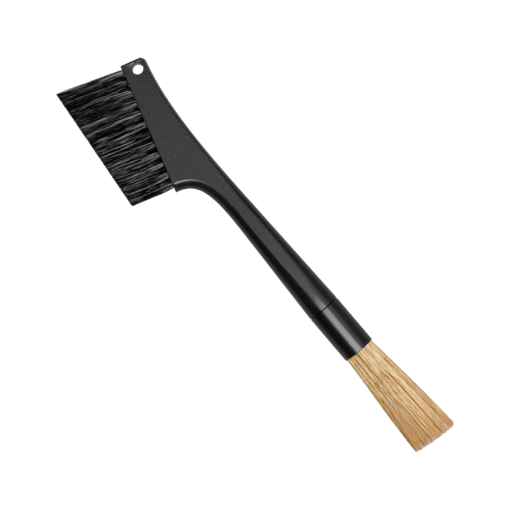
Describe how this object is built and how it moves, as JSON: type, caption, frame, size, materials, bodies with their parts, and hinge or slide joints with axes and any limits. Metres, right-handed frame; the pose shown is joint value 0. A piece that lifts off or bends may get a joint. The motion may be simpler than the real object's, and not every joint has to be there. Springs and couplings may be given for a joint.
{
  "type": "coffee grinder brush",
  "caption": "Double-ended hand brush: a blade-shaped head with staggered dark tufts, a slim tapering grip, and a dark ferrule with a round bundle of pale bristles.",
  "frame": {"origin": "middle of the underside of the bounding box, with the brush on its side and its handle's axis level", "axes": "+Z square to the flat side of the head, which is the side the picture shows; +X along the handle's axis, from the head to the pale bristles; the dark tufts point towards -Y"},
  "size_m": [0.2484, 0.0514, 0.0225],
  "materials": {
    "handle_plastic": "satin charcoal black, moulded",
    "ferrule_sleeve": "satin black sleeve with faint lengthwise lines",
    "nylon_bristle": "black nylon filament, slightly glossy",
    "natural_bristle": "blond natural bristle set in resin",
    "anchor_metal": "plain flat strip, out of sight"
  },
  "bodies": {
    "root": {"handle": "handle_plastic", "ferrule": "ferrule_sleeve", "natural_bristles": "natural_bristle", "tuft_top_01": "nylon_bristle", "tuft_top_02": "nylon_bristle", "tuft_top_03": "nylon_bristle", "tuft_top_04": "nylon_bristle", "tuft_top_05": "nylon_bristle", "tuft_top_06": "nylon_bristle", "tuft_top_07": "nylon_bristle", "tuft_top_08": "nylon_bristle", "tuft_top_09": "nylon_bristle", "tuft_top_10": "nylon_bristle", "tuft_top_11": "nylon_bristle", "tuft_top_12": "nylon_bristle", "tuft_under_01": "nylon_bristle", "tuft_under_02": "nylon_bristle", "tuft_under_03": "nylon_bristle", "tuft_under_04": "nylon_bristle", "tuft_under_05": "nylon_bristle", "tuft_under_06": "nylon_bristle", "tuft_under_07": "nylon_bristle", "tuft_under_08": "nylon_bristle", "tuft_under_09": "nylon_bristle", "tuft_under_10": "nylon_bristle", "tuft_under_11": "nylon_bristle", "anchor_top_01": "anchor_metal", "anchor_top_02": "anchor_metal", "anchor_top_03": "anchor_metal", "anchor_top_04": "anchor_metal", "anchor_top_05": "anchor_metal", "anchor_top_06": "anchor_metal", "anchor_top_07": "anchor_metal", "anchor_top_08": "anchor_metal", "anchor_top_09": "anchor_metal", "anchor_top_10": "anchor_metal", "anchor_top_11": "anchor_metal", "anchor_top_12": "anchor_metal", "anchor_under_01": "anchor_metal", "anchor_under_02": "anchor_metal", "anchor_under_03": "anchor_metal", "anchor_under_04": "anchor_metal", "anchor_under_05": "anchor_metal", "anchor_under_06": "anchor_metal", "anchor_under_07": "anchor_metal", "anchor_under_08": "anchor_metal", "anchor_under_09": "anchor_metal", "anchor_under_10": "anchor_metal", "anchor_under_11": "anchor_metal"}
  },
  "joints": []
}
